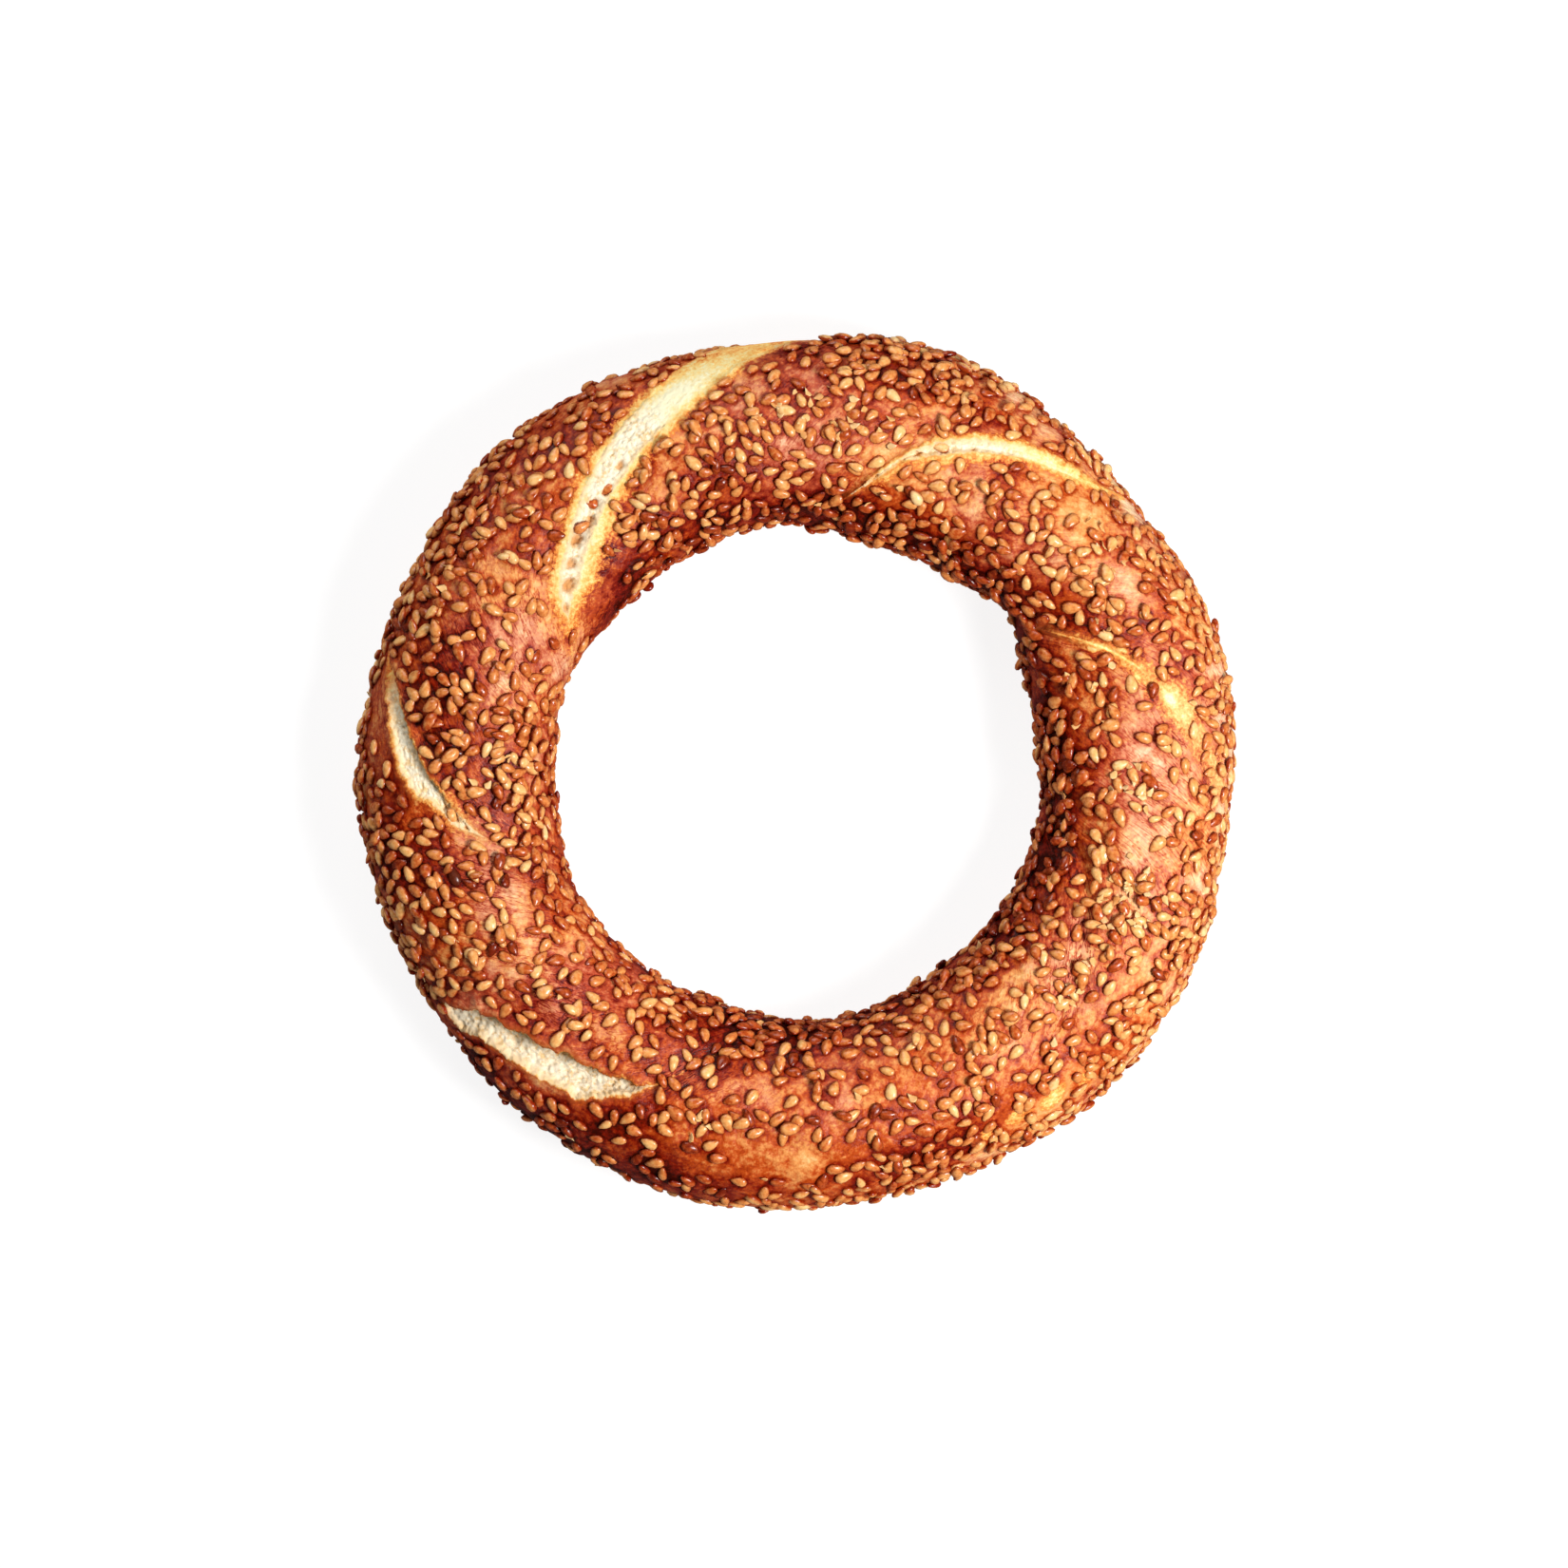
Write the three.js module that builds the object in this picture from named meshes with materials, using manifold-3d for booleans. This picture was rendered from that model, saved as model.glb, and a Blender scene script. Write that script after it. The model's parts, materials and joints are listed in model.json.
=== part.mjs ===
// A simit: two strands of dough twisted into a rope, the rope closed into a ring,
// dipped in molasses, rolled in sesame and baked flat on a tray.
// Millimetres, +Z up. The origin is the centre of the ring, on the plane it rests on.
//
// Places on the crust are given by two angles in degrees:
//   around  goes round the ring, anticlockwise seen from above, from +X
//   across  goes round the rope: 0 is the outer side, 90 the crown, 180 the side of the hole
import * as THREE from "three";
import { mergeVertices } from "three/addons/utils/BufferGeometryUtils.js";
import Module from "manifold-3d";

const wasm = await Module();
wasm.setup();

// The ring and its rope.
const ringRadius = 62.9; // to the middle of the rope
const ropeHalfWidth = 17.4;
const crownHeight = 15.8; // above the rope's widest level
const bellyDepth = 15.6; // below it, if the tray didn't flatten the dough
const widestLevel = 12.8; // above the tray
const acrossSteps = 24;
const followSeams = 0.5; // how far the cells lean with the seams instead of with the mean twist

// The two strands. Each seam between them is given by the places round the ring where it comes over
// the outer shoulder, the crown and the inner shoulder.
const shoulderOut = 40;
const crown = 90;
const shoulderIn = 125;
const seams = [
  { out: 0.8, top: 19.3, in: 28 },
  { out: 44.8, top: 68.8, in: 77.8 },
  { out: 103.5, top: 124.8, in: 142.8 },
  { out: 168.5, top: 188, in: 195.3 },
  { out: 216.8, top: 245, in: 253.3 },
  { out: 298, top: 323, in: 343 },
];
const strandBulge = 0.5;
const seamDepth = 0.9;
const seamSharpness = 7;
const sideRelief = 0.35; // share of the relief that is left on the sides and the base

// The rope is thinner from the side of the hole where two strands parted.
const waist = { at: 38, reach: 8, depth: 1.9 };

// Where the crust tore open along a seam while it baked.
const splits = [
  { seam: 0, from: 12, to: 30, widest: 21, width: 1.4, depth: 0.7 },
  { seam: 1, from: 41, to: 80, widest: 62, width: 4.0, depth: 1.2 },
  { seam: 2, from: 84, to: 146.5, widest: 104, width: 8.0, depth: 1.3 },
  { seam: 3, from: 163, to: 192, widest: 178, width: 4.2, depth: 1.5 },
  { seam: 4, from: 212.8, to: 245.5, widest: 227, width: 6.8, depth: 2.3 },
];
const splitStations = 14;
const splitRim = 1.2; // how far the cutting form stands proud of the crust
const splitFloor = 0.55; // width of the tear's floor as a share of its mouth
const splitShallow = 0.7; // depth on the outer side as a share of the depth
const splitBluntness = 0.85; // how quickly it widens from its ends

// Sesame.
const seedLength = 3.1;
const seedWidth = 2.0;
const seedThickness = 1.7; // half of it is sunk in the crust
const seedCount = 212;
const seedSides = 6;
const seedProfile = [
  [0, -0.5],
  [0.5, -0.1],
  [0, 0.5],
]; // half width and place along the seed, as shares of its width and length
const seedSizes = { least: 0.92, most: 1.08 };
const seedReach = { from: -60, to: 240 }; // places across the rope
const seedTries = 24;
const lowestSeed = 2.6;
const bareMargin = 1.6; // crust without seeds beside a split
const drawSeed = 20;

const nearby = 0.5; // degrees from a place to those that a slope is taken from
const radians = THREE.MathUtils.degToRad;

// A repeatable stream of numbers from 0 to 1.
function makeDraw(seed) {
  let state = seed;
  return () => {
    state = (state + 0x6d2b79f5) | 0;
    let mixed = Math.imul(state ^ (state >>> 15), 1 | state);
    mixed = (mixed + Math.imul(mixed ^ (mixed >>> 7), 61 | mixed)) ^ mixed;
    return ((mixed ^ (mixed >>> 14)) >>> 0) / 4294967296;
  };
}

// The knots of the seams' path: around against across, where across goes on growing by half a turn
// from one seam to the next, so that the rope makes three whole twists in one round.
const halfTurn = 180;
const wholeTwist = halfTurn * seams.length;
const aroundSteps = acrossSteps * (wholeTwist / 360); // a cell's diagonal then follows the twist
const knots = seams.flatMap((seam, index) => [
  { around: seam.out, across: shoulderOut + halfTurn * index },
  { around: seam.top, across: crown + halfTurn * index },
  { around: seam.in, across: shoulderIn + halfTurn * index },
]);

function knotAt(index) {
  const rounds = Math.floor(index / knots.length);
  const knot = knots[index - rounds * knots.length];
  return { around: knot.around + 360 * rounds, across: knot.across + wholeTwist * rounds };
}

function slopeBetween(a, b) {
  return (b.across - a.across) / (b.around - a.around);
}

// The slope at a knot is the harmonic mean of its neighbours', so the path never turns back.
function slopeAt(index) {
  const before = slopeBetween(knotAt(index - 1), knotAt(index));
  const after = slopeBetween(knotAt(index), knotAt(index + 1));
  return (2 * before * after) / (before + after);
}

// Where across the rope the seam family lies at a place round the ring.
function seamAcross(around) {
  let index = -1;
  while (knotAt(index + 1).around <= around) index += 1;
  const [a, b] = [knotAt(index), knotAt(index + 1)];
  const span = b.around - a.around;
  const t = (around - a.around) / span;
  const rise = b.across - a.across;
  const [slopeA, slopeB] = [slopeAt(index) * span, slopeAt(index + 1) * span];
  return (
    a.across +
    rise * t * t * (3 - 2 * t) +
    slopeA * t * (1 - t) * (1 - t) -
    slopeB * t * t * (1 - t)
  );
}

// The angle between a seam and the ring.
function seamSteepness(around) {
  const slope = seamAcross(around + nearby) - seamAcross(around - nearby);
  return Math.atan2((slope / (2 * nearby)) * ropeHalfWidth, ringRadius);
}

// How far the strands swell the crust, or the seams draw it in.
function strandRelief(around, across) {
  const fromSeam = radians(across - seamAcross(around));
  const swell = -Math.cos(2 * fromSeam) * strandBulge;
  const groove = seamDepth * Math.exp(-seamSharpness * Math.sin(fromSeam) ** 2);
  const share = THREE.MathUtils.lerp(sideRelief, 1, Math.max(0, Math.sin(radians(across))));
  return (swell - groove) * share;
}

// A point of the crust, lifted off it by some millimetres.
function crustPoint(around, across, lift = 0) {
  const [u, v] = [radians(around), radians(across)];
  const relief = strandRelief(around, across) + lift;
  const fromWaist = ((((around - waist.at + 180) % 360) + 360) % 360) - 180;
  const pinch = waist.depth * Math.exp(-((fromWaist / waist.reach) ** 2));
  const side = Math.max(0, -Math.cos(v)) ** 2;
  const level = Math.sin(v) > 0 ? crownHeight : bellyDepth;
  const out = (ropeHalfWidth + relief) * Math.cos(v) + pinch * side;
  const radius = ringRadius + out;
  return new THREE.Vector3(
    radius * Math.cos(u),
    radius * Math.sin(u),
    widestLevel + (level + relief) * Math.sin(v),
  );
}

// The crust's outward normal, and its directions round the ring and round the rope.
function crustFrame(around, across) {
  const round = crustPoint(around + nearby, across).sub(crustPoint(around - nearby, across));
  const over = crustPoint(around, across + nearby).sub(crustPoint(around, across - nearby));
  const normal = round.clone().cross(over).normalize();
  return { normal, round: round.normalize(), over: over.normalize() };
}

function toSolid(geometry) {
  const bare = geometry.clone();
  bare.deleteAttribute("normal");
  bare.deleteAttribute("uv");
  const merged = mergeVertices(bare, 1e-4);
  const corners = merged.index.array;
  const triangles = [];
  for (let i = 0; i < corners.length; i += 3) {
    const [a, b, c] = [corners[i], corners[i + 1], corners[i + 2]];
    if (a !== b && b !== c && c !== a) triangles.push(a, b, c);
  }
  return new wasm.Manifold(
    new wasm.Mesh({
      numProp: 3,
      vertProperties: new Float32Array(merged.attributes.position.array),
      triVerts: new Uint32Array(triangles),
    }),
  );
}

function toGeometry(solid) {
  const mesh = solid.getMesh();
  const geometry = new THREE.BufferGeometry();
  geometry.setAttribute("position", new THREE.BufferAttribute(mesh.vertProperties, 3));
  geometry.setIndex(new THREE.BufferAttribute(mesh.triVerts, 1));
  geometry.computeVertexNormals();
  return geometry;
}

// The rope: a torus whose cells are shifted a little over the rope, so that their diagonals follow
// the seams.
function makeRope() {
  const torus = new THREE.TorusGeometry(ringRadius, ropeHalfWidth, acrossSteps, aroundSteps);
  const { position, uv } = torus.attributes;
  for (let i = 0; i < position.count; i += 1) {
    const around = 360 * (uv.getX(i) % 1);
    const shift = followSeams * (seamAcross(around) - (wholeTwist / 360) * around);
    const across = shift + 360 * (uv.getY(i) % 1);
    const point = crustPoint(around, across);
    position.setXYZ(i, point.x, point.y, point.z);
  }
  return toSolid(torus);
}

// Half the width of a split at a place round the ring, or 0 outside it.
function splitHalfWidth(split, around) {
  const t = (around - split.from) / (split.to - split.from);
  if (t <= 0 || t >= 1) return 0;
  const lean = Math.log(0.5) / Math.log((split.widest - split.from) / (split.to - split.from));
  return (split.width / 2) * Math.sin(Math.PI * t ** lean) ** splitBluntness;
}

// The form that cuts a split: a trough along the seam, wide at the mouth and pointed at its ends.
function makeSplit(split) {
  const corners = [
    { side: 1, lift: splitRim },
    { side: -1, lift: splitRim },
    { side: -1, lift: 0 },
    { side: -splitFloor, lift: -split.depth * splitShallow },
    { side: splitFloor, lift: -split.depth },
    { side: 1, lift: 0 },
  ];
  // A lathe gives the rings of corners and the closed ends; its points are then laid along the seam.
  const profile = [];
  for (let i = 0; i <= splitStations; i += 1) {
    const end = i === 0 || i === splitStations;
    profile.push(new THREE.Vector2(end ? 0 : 1, i));
  }
  const form = new THREE.LatheGeometry(profile, corners.length);
  const { position, uv } = form.attributes;
  const turn = halfTurn * split.seam;
  for (let i = 0; i < position.count; i += 1) {
    const share = uv.getY(i);
    const corner = corners[Math.round(uv.getX(i) * corners.length) % corners.length];
    const around = THREE.MathUtils.lerp(split.from, split.to, share);
    const middle = seamAcross(around) - turn;
    const steepness = seamSteepness(around);
    const half = splitHalfWidth(split, around);
    const lift = (corner.lift * half) / (split.width / 2);
    const offset = corner.side * half;
    const overRope = THREE.MathUtils.radToDeg((offset * Math.cos(steepness)) / ropeHalfWidth);
    const alongRing = THREE.MathUtils.radToDeg((-offset * Math.sin(steepness)) / ringRadius);
    const point = crustPoint(around + alongRing, middle + overRope, lift);
    position.setXYZ(i, point.x, point.y, point.z);
  }
  return toSolid(form);
}

// Whether a place on the crust lies in a split or in the bare skin beside it.
function isBare(around, across) {
  return splits.some((split) => {
    const reach = splitHalfWidth(split, around);
    if (reach === 0) return false;
    const fromSeam = across - (seamAcross(around) - halfTurn * split.seam);
    const apart = Math.abs(radians(fromSeam)) * ropeHalfWidth * Math.cos(seamSteepness(around));
    return apart < reach + bareMargin + seedWidth / 2;
  });
}

// Evenly spread places for the seeds: each is the best of several draws, furthest from the others.
function seedPlaces() {
  const draw = makeDraw(drawSeed);
  const places = [];
  while (places.length < seedCount) {
    let best = null;
    for (let i = 0; i < seedTries; i += 1) {
      const around = 360 * draw();
      const across = THREE.MathUtils.lerp(seedReach.from, seedReach.to, draw());
      const point = crustPoint(around, across);
      const farOut = Math.hypot(point.x, point.y) / (ringRadius + ropeHalfWidth);
      if (draw() > farOut || point.z < lowestSeed || isBare(around, across)) continue;
      const room = Math.min(Infinity, ...places.map((place) => place.point.distanceTo(point)));
      if (!best || room > best.room) best = { around, across, point, room };
    }
    const size = THREE.MathUtils.lerp(seedSizes.least, seedSizes.most, draw());
    if (best) places.push({ ...best, turn: 360 * draw(), size });
  }
  return places;
}

const seedForm = new THREE.LatheGeometry(
  seedProfile.map(([half, along]) => new THREE.Vector2(half * seedWidth, along * seedLength)),
  seedSides,
);
seedForm.scale(1, 1, seedThickness / seedWidth);

function makeSeed(place) {
  const { normal, round, over } = crustFrame(place.around, place.across);
  const along = round.multiplyScalar(Math.cos(radians(place.turn)));
  along.addScaledVector(over, Math.sin(radians(place.turn))).normalize();
  const side = along.clone().cross(normal).normalize();
  const stand = new THREE.Matrix4().makeBasis(side, along, normal);
  stand.scale(new THREE.Vector3(place.size, place.size, place.size));
  stand.setPosition(place.point);
  return toSolid(seedForm.clone().applyMatrix4(stand));
}

// The tray: all that would hang below it is cut off, which leaves the flat base.
function makeTray() {
  const size = 4 * ringRadius;
  return toSolid(new THREE.BoxGeometry(size, size, size).translate(0, 0, -size / 2));
}

let dough = makeRope();
for (const split of splits) dough = dough.subtract(makeSplit(split));
for (const place of seedPlaces()) dough = dough.add(makeSeed(place));
dough = dough.subtract(makeTray());

const crust = new THREE.MeshStandardMaterial({ color: 0xb5632f, roughness: 0.45, metalness: 0 });
const simit = new THREE.Mesh(toGeometry(dough), crust);
simit.name = "simit";

const group = new THREE.Group();
group.add(simit);
export default group;
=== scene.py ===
import json
import math

import bpy
import numpy as np
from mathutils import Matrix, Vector, noise
from mathutils.kdtree import KDTree


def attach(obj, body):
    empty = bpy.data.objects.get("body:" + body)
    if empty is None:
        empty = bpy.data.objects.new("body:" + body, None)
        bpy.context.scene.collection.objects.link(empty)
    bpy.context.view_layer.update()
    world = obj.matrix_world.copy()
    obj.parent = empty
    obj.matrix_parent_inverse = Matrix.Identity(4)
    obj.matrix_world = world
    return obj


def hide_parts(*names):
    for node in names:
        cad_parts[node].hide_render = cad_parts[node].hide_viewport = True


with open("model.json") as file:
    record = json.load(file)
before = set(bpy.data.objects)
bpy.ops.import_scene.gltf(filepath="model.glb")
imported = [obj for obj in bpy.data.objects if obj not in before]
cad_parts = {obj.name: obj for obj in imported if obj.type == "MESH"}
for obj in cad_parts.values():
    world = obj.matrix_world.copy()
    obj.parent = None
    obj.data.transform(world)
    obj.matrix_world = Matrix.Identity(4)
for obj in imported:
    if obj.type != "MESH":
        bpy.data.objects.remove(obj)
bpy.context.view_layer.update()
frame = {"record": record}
mm = 0.001

# Places on the crust are two angles in degrees: around the ring, anticlockwise from +X seen from
# above, and across the rope, 0 on the outer side, 90 on the crown, 180 on the side of the hole.
# Lengths are millimetres until a mesh is written.

farAway = 20.0  # mm, further than any tear reaches

ropeShape = {
    "ringRadius": frame["record"]["mounts"][0]["pos_m"][0] / mm,
    "halfWidth": 17.4,
    "crownHeight": 15.8,
    "crownWander": 0.35,  # mm that the crown rises and falls round the ring
    "bellyDepth": 15.6,
    "widestLevel": 12.8,
    "trayLevel": 0.35,  # the crust stays this far above the tray, and the seeds reach it
    "baseSoftness": 0.6,
    "stepsAround": 244, "stepsAcross": 90,
    "crowdUpwards": 0.3,  # how much closer the mesh lines lie on the crown than at the base
    "outerWobble": [(4, 0.26, -93), (6, 0.45, 80), (7, 0.33, 122)],  # waves, mm, degrees
    "innerWobble": [(2, 0.35, 92), (4, 0.22, 143), (5, 0.22, -162), (6, 0.32, -124)],
    "waistAt": 38,  # where the rope is thinner on the side of the hole
    "waistReach": 8, "waistDepth": 1.9,
    "strandBulge": 0.5,
    "creaseDepth": 0.85,  # the groove where the strands meet
    "creaseWidth": 1.5, "creaseUneven": 0.35,
    "dipDepth": 0.55,  # the wider hollow round the groove
    "dipWidth": 5.0,
    "sideRelief": 0.4,  # share of the bulges and grooves that is left on the walls
    "foldReach": 3.5,  # mm from the seam, where the crust is wrinkled
}

# The seams between the two strands: where each comes over the outer shoulder, crown, inner shoulder.
shoulderOut, crown, shoulderIn = 40, 90, 125
seams = [(0.8, 19.3, 28), (44.8, 68.8, 77.8), (103.5, 124.8, 142.8),
         (168.5, 188, 195.3), (216.8, 245, 253.3), (298, 323, 343)]
halfTurn = 180
wholeTwist = halfTurn * len(seams)

# What all the tears along the seams share.
tearShape = {
    "fineReach": 0.9,  # mm beyond the edge that the mesh is fine
    "lipAt": 0.6,  # mm outside the edge
    "lipWidth": 1.0, "curlReach": 1.1,
    "haloFall": 1.6,  # how sharply the pale crust ends
    "haloEnds": 3,  # degrees over which it fades past either end
    "outerPale": 0.56,  # how pale the smooth skin still is on the outer side
    "skinFade": 3,  # degrees over which the skin gives way to crumb
}

# The tears.
# edges: place around, mm outwards from the seam, mm towards the hole, depth.
# halo: place around, mm of pale crust beyond either edge, and how pale.
# spots: place around, mm from the seam, half length, half width, depth, how pale.
# tilt puts the deepest line towards the hole, walls are the mm over which it sinks on either side.
# filled is how far the seam's groove is pulled flat.
# Up to skinUntil the floor is smooth skin, then crumb.
splits = {}
splits["right"] = {
    "seam": 0, "tilt": 0.2, "ragged": 0.35, "lips": (0.1, 0.1), "overhang": 0.0,
    "walls": (0.6, 0.6), "filled": 0.8, "skinUntil": 36, "skinPale": 0.85,
    "edges": [
        (15, 0, 0, 0.1), (18, 0.3, 0.35, 0.3), (22, 0.5, 0.4, 0.35), (25, 0.4, 0.3, 0.3),
        (28, 0.2, 0.2, 0.2), (31, 0, 0, 0)],
    "halo": [
        (-14, 1.8, 1.4, 0.4), (-6, 3, 2.4, 0.58), (2, 4, 3, 0.61), (8, 4.7, 3.4, 0.61),
        (13, 4.4, 3.4, 0.59), (17, 3, 2.2, 0.54), (23, 1.2, 1, 0.42), (31, 0.4, 0.4, 0.2)],
    "spots": [
        (11.3, 0.1, 2.6, 1.2, -0.05, 0.88), (18.6, 0.3, 0.9, 0.5, 0.35, 0),
        (21.5, -0.2, 1.3, 0.4, 0.4, 0), (25.5, 0.2, 1.5, 0.4, 0.35, 0), (20, -1.2, 1, 0.6, -0.2, 0.75),
        (23.5, 1, 1.2, 0.6, -0.2, 0.7), (16.6, 1.7, 1.1, 0.7, -0.15, 0.72),
        (14, -2.3, 1.1, 0.8, -0.15, 0.75)]}
splits["upperRight"] = {
    "seam": 1, "tilt": 0.15, "ragged": 0.3, "lips": (0.25, 0.1), "overhang": 0.0,
    "walls": (0.9, 0.9), "filled": 0.8, "skinUntil": 55, "skinPale": 0.85,
    "edges": [
        (41, 0, 0, 0), (44, 0.5, 1, 0.05), (50, 1.8, 0.5, 0.1), (55, 2.2, 0.5, 0.25),
        (60, 1.6, 1.3, 0.5), (66, 1.3, 1.7, 0.7), (69, 0.7, 1.3, 0.8), (72, 0.5, 0.5, 0.8),
        (76, 0.35, 0.35, 0.6), (80, 0, 0, 0)],
    "halo": [
        (37, 0.6, 0.6, 0.3), (45, 1.3, 1.2, 0.6), (52, 1.5, 1.4, 0.6), (58, 1.6, 1.6, 0.62),
        (64, 1.2, 2.8, 0.62), (70, 0.6, 3.6, 0.6), (75, 0.5, 2.4, 0.5), (82, 0.3, 0.3, 0.2)],
    "spots": [
        (61.7, 0.6, 0.6, 0.5, 0.7, 0), (66.5, -0.3, 1.1, 0.6, 0.7, 0), (69.5, 0.4, 0.8, 0.6, 0.6, 0),
        (72, 0.3, 1, 0.5, 0.6, 0), (75.5, 0, 1.2, 0.3, 0.5, 0)]}
splits["upperLeft"] = {
    "seam": 2, "tilt": 0.0, "ragged": 0.3, "lips": (0.2, 0.0), "overhang": 0.0,
    "walls": (1.2, 1.6), "filled": 1.0, "skinUntil": 112, "skinPale": 1.0,
    "edges": [
        (84, 0, 0, 0), (92, 4, 3, -0.1), (98, 5.2, 4, -0.1), (104, 4.2, 4.1, 0), (108, 3.2, 4.2, 0),
        (115, 3, 3.4, 0.1), (121, 3, 2.8, 0.25), (126, 2.8, 2.2, 0.5), (131, 2.3, 2.1, 0.6),
        (136, 2, 2.2, 0.6), (140, 1.9, 2.3, 0.5), (144, 1.3, 0.9, 0.3), (146.5, 0, 0, 0)],
    "halo": [
        (82, 0.6, 0.6, 0.3), (100, 1.2, 1.8, 0.7), (110, 2, 2.6, 0.7), (117, 2.6, 2.6, 0.7),
        (124, 2.4, 3.2, 0.72), (129, 2.2, 4.2, 0.74), (135, 2.2, 4.4, 0.74), (141, 2.2, 3.8, 0.7),
        (149, 2, 2.4, 0.46), (156, 1.4, 1.8, 0.3), (163, 0.5, 0.5, 0.1)],
    "spots": [
        (120.5, 1, 1.1, 0.7, 0.5, 0), (124.7, 1.2, 1.1, 0.8, 0.8, 0), (127.2, 0.1, 1.1, 0.9, 0.9, 0),
        (129.9, 0.6, 1.2, 0.8, 1, 0), (133.4, -0.3, 1.7, 1.1, 1.1, 0), (137.5, 0.1, 1.3, 1.1, 0.9, 0),
        (141.1, 0.4, 1.9, 1.3, 1, 0), (144.7, -0.2, 0.9, 0.7, 0.6, 0)]}
splits["left"] = {
    "seam": 3, "tilt": 0.1, "ragged": 0.4, "lips": (0.3, 0.4), "overhang": 0.3,
    "walls": (0.9, 0.8), "filled": 0.5, "skinUntil": 169, "skinPale": 0.62,
    "edges": [
        (163, 0, 0, 0), (167, 1, 2, 0.25), (170, 1.6, 1.9, 0.5), (175, 2.6, 1.7, 0.8),
        (179, 3.1, 1.9, 0.9), (182.5, 2.5, 2, 0.8), (183.8, 0.9, 2, 0.7), (188, 0.9, 1.4, 0.6),
        (192, 0, 0, 0)],
    "halo": [
        (160, 0.6, 0.6, 0.2), (170, 0.7, 0.7, 0.45), (181, 0.6, 0.6, 0.5), (187, 1.4, 2, 0.5),
        (192, 2.2, 2.2, 0.4), (199, 0.8, 0.8, 0.2)],
    "spots": [
        (185.9, 0.5, 0.8, 0.5, 0.6, 0), (187.9, 0.3, 0.7, 0.5, 0.6, 0), (189.5, 0, 0.6, 0.4, 0.4, 0)]}
splits["lowerLeft"] = {
    "seam": 4, "tilt": 0.6, "ragged": 0.5, "lips": (0.15, 0.6), "overhang": 0.9,
    "walls": (0.9, 0.6), "filled": 0.0, "skinUntil": 200, "skinPale": 0.7,
    "edges": [
        (212.8, 0, 0, 0.6), (213.6, 2.6, 1.4, 1.3), (216, 3.9, 2.2, 1.7), (218.5, 2.4, 4.2, 1.9),
        (221, 2.4, 5, 2.1), (223.5, 2.9, 4.3, 2.2), (225.5, 2.3, 5.1, 2.3), (228, 3.4, 4.4, 2.4),
        (232.5, 3.3, 5, 2.4), (234.5, 4.4, 3.9, 2.2), (237, 2.9, 3.2, 1.8), (241, 1.8, 2.2, 1.3),
        (245.5, 0, 0, 0)],
    "halo": [
        (212, 0.2, 0.2, 0.3), (232, 0.25, 0.3, 0.4), (244, 0.9, 0.9, 0.36), (254, 0.9, 0.9, 0.26),
        (264, 0.3, 0.3, 0.15)],
    "spots": [
        (220, 3.2, 1.2, 0.8, 0.7, 0), (223.2, 3, 1, 0.7, 0.6, 0), (226.1, 3.2, 1.4, 0.8, 0.7, 0),
        (229.5, 2.8, 1, 0.7, 0.5, 0), (232.6, 3.6, 1.5, 0.8, 0.9, 0), (237.6, 1.9, 0.9, 0.7, 0.8, 0),
        (239.9, 1.4, 0.8, 0.6, 0.7, 0), (242.2, 0.4, 0.8, 0.6, 0.6, 0)]}
splits["lowerRight"] = {
    "seam": 5, "tilt": 0.0, "ragged": 0.0, "lips": (0, 0), "overhang": 0.0,
    "walls": (0.9, 0.9), "filled": 0.6, "skinUntil": 0, "skinPale": 0,
    "edges": [
        (294, 0, 0, 0), (318, 0, 0, 0)],
    "halo": [
        (290, 0.8, 0.8, 0.1), (299, 1.6, 1.6, 0.2), (306, 1.6, 1, 0.2), (313, 1, 0.8, 0.15),
        (320, 0.6, 0.6, 0.1)],
    "spots": [
        (298, 1.4, 2.8, 2.1, 0, 0.56), (302.5, -1.5, 3, 2.3, 0, 0.58), (306.6, -5.2, 3.2, 2.3, 0, 0.6),
        (310.4, -9.2, 3.2, 2.1, 0, 0.53)]}

# How much darker whole sides are: darker baked crust, with painted shade on the side of the hole and
# underneath; the outer side a little lighter.
bakeAndShadeShape = {"holeSide": 0.3, "underneath": 0.3, "outerSide": -0.05}
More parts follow.
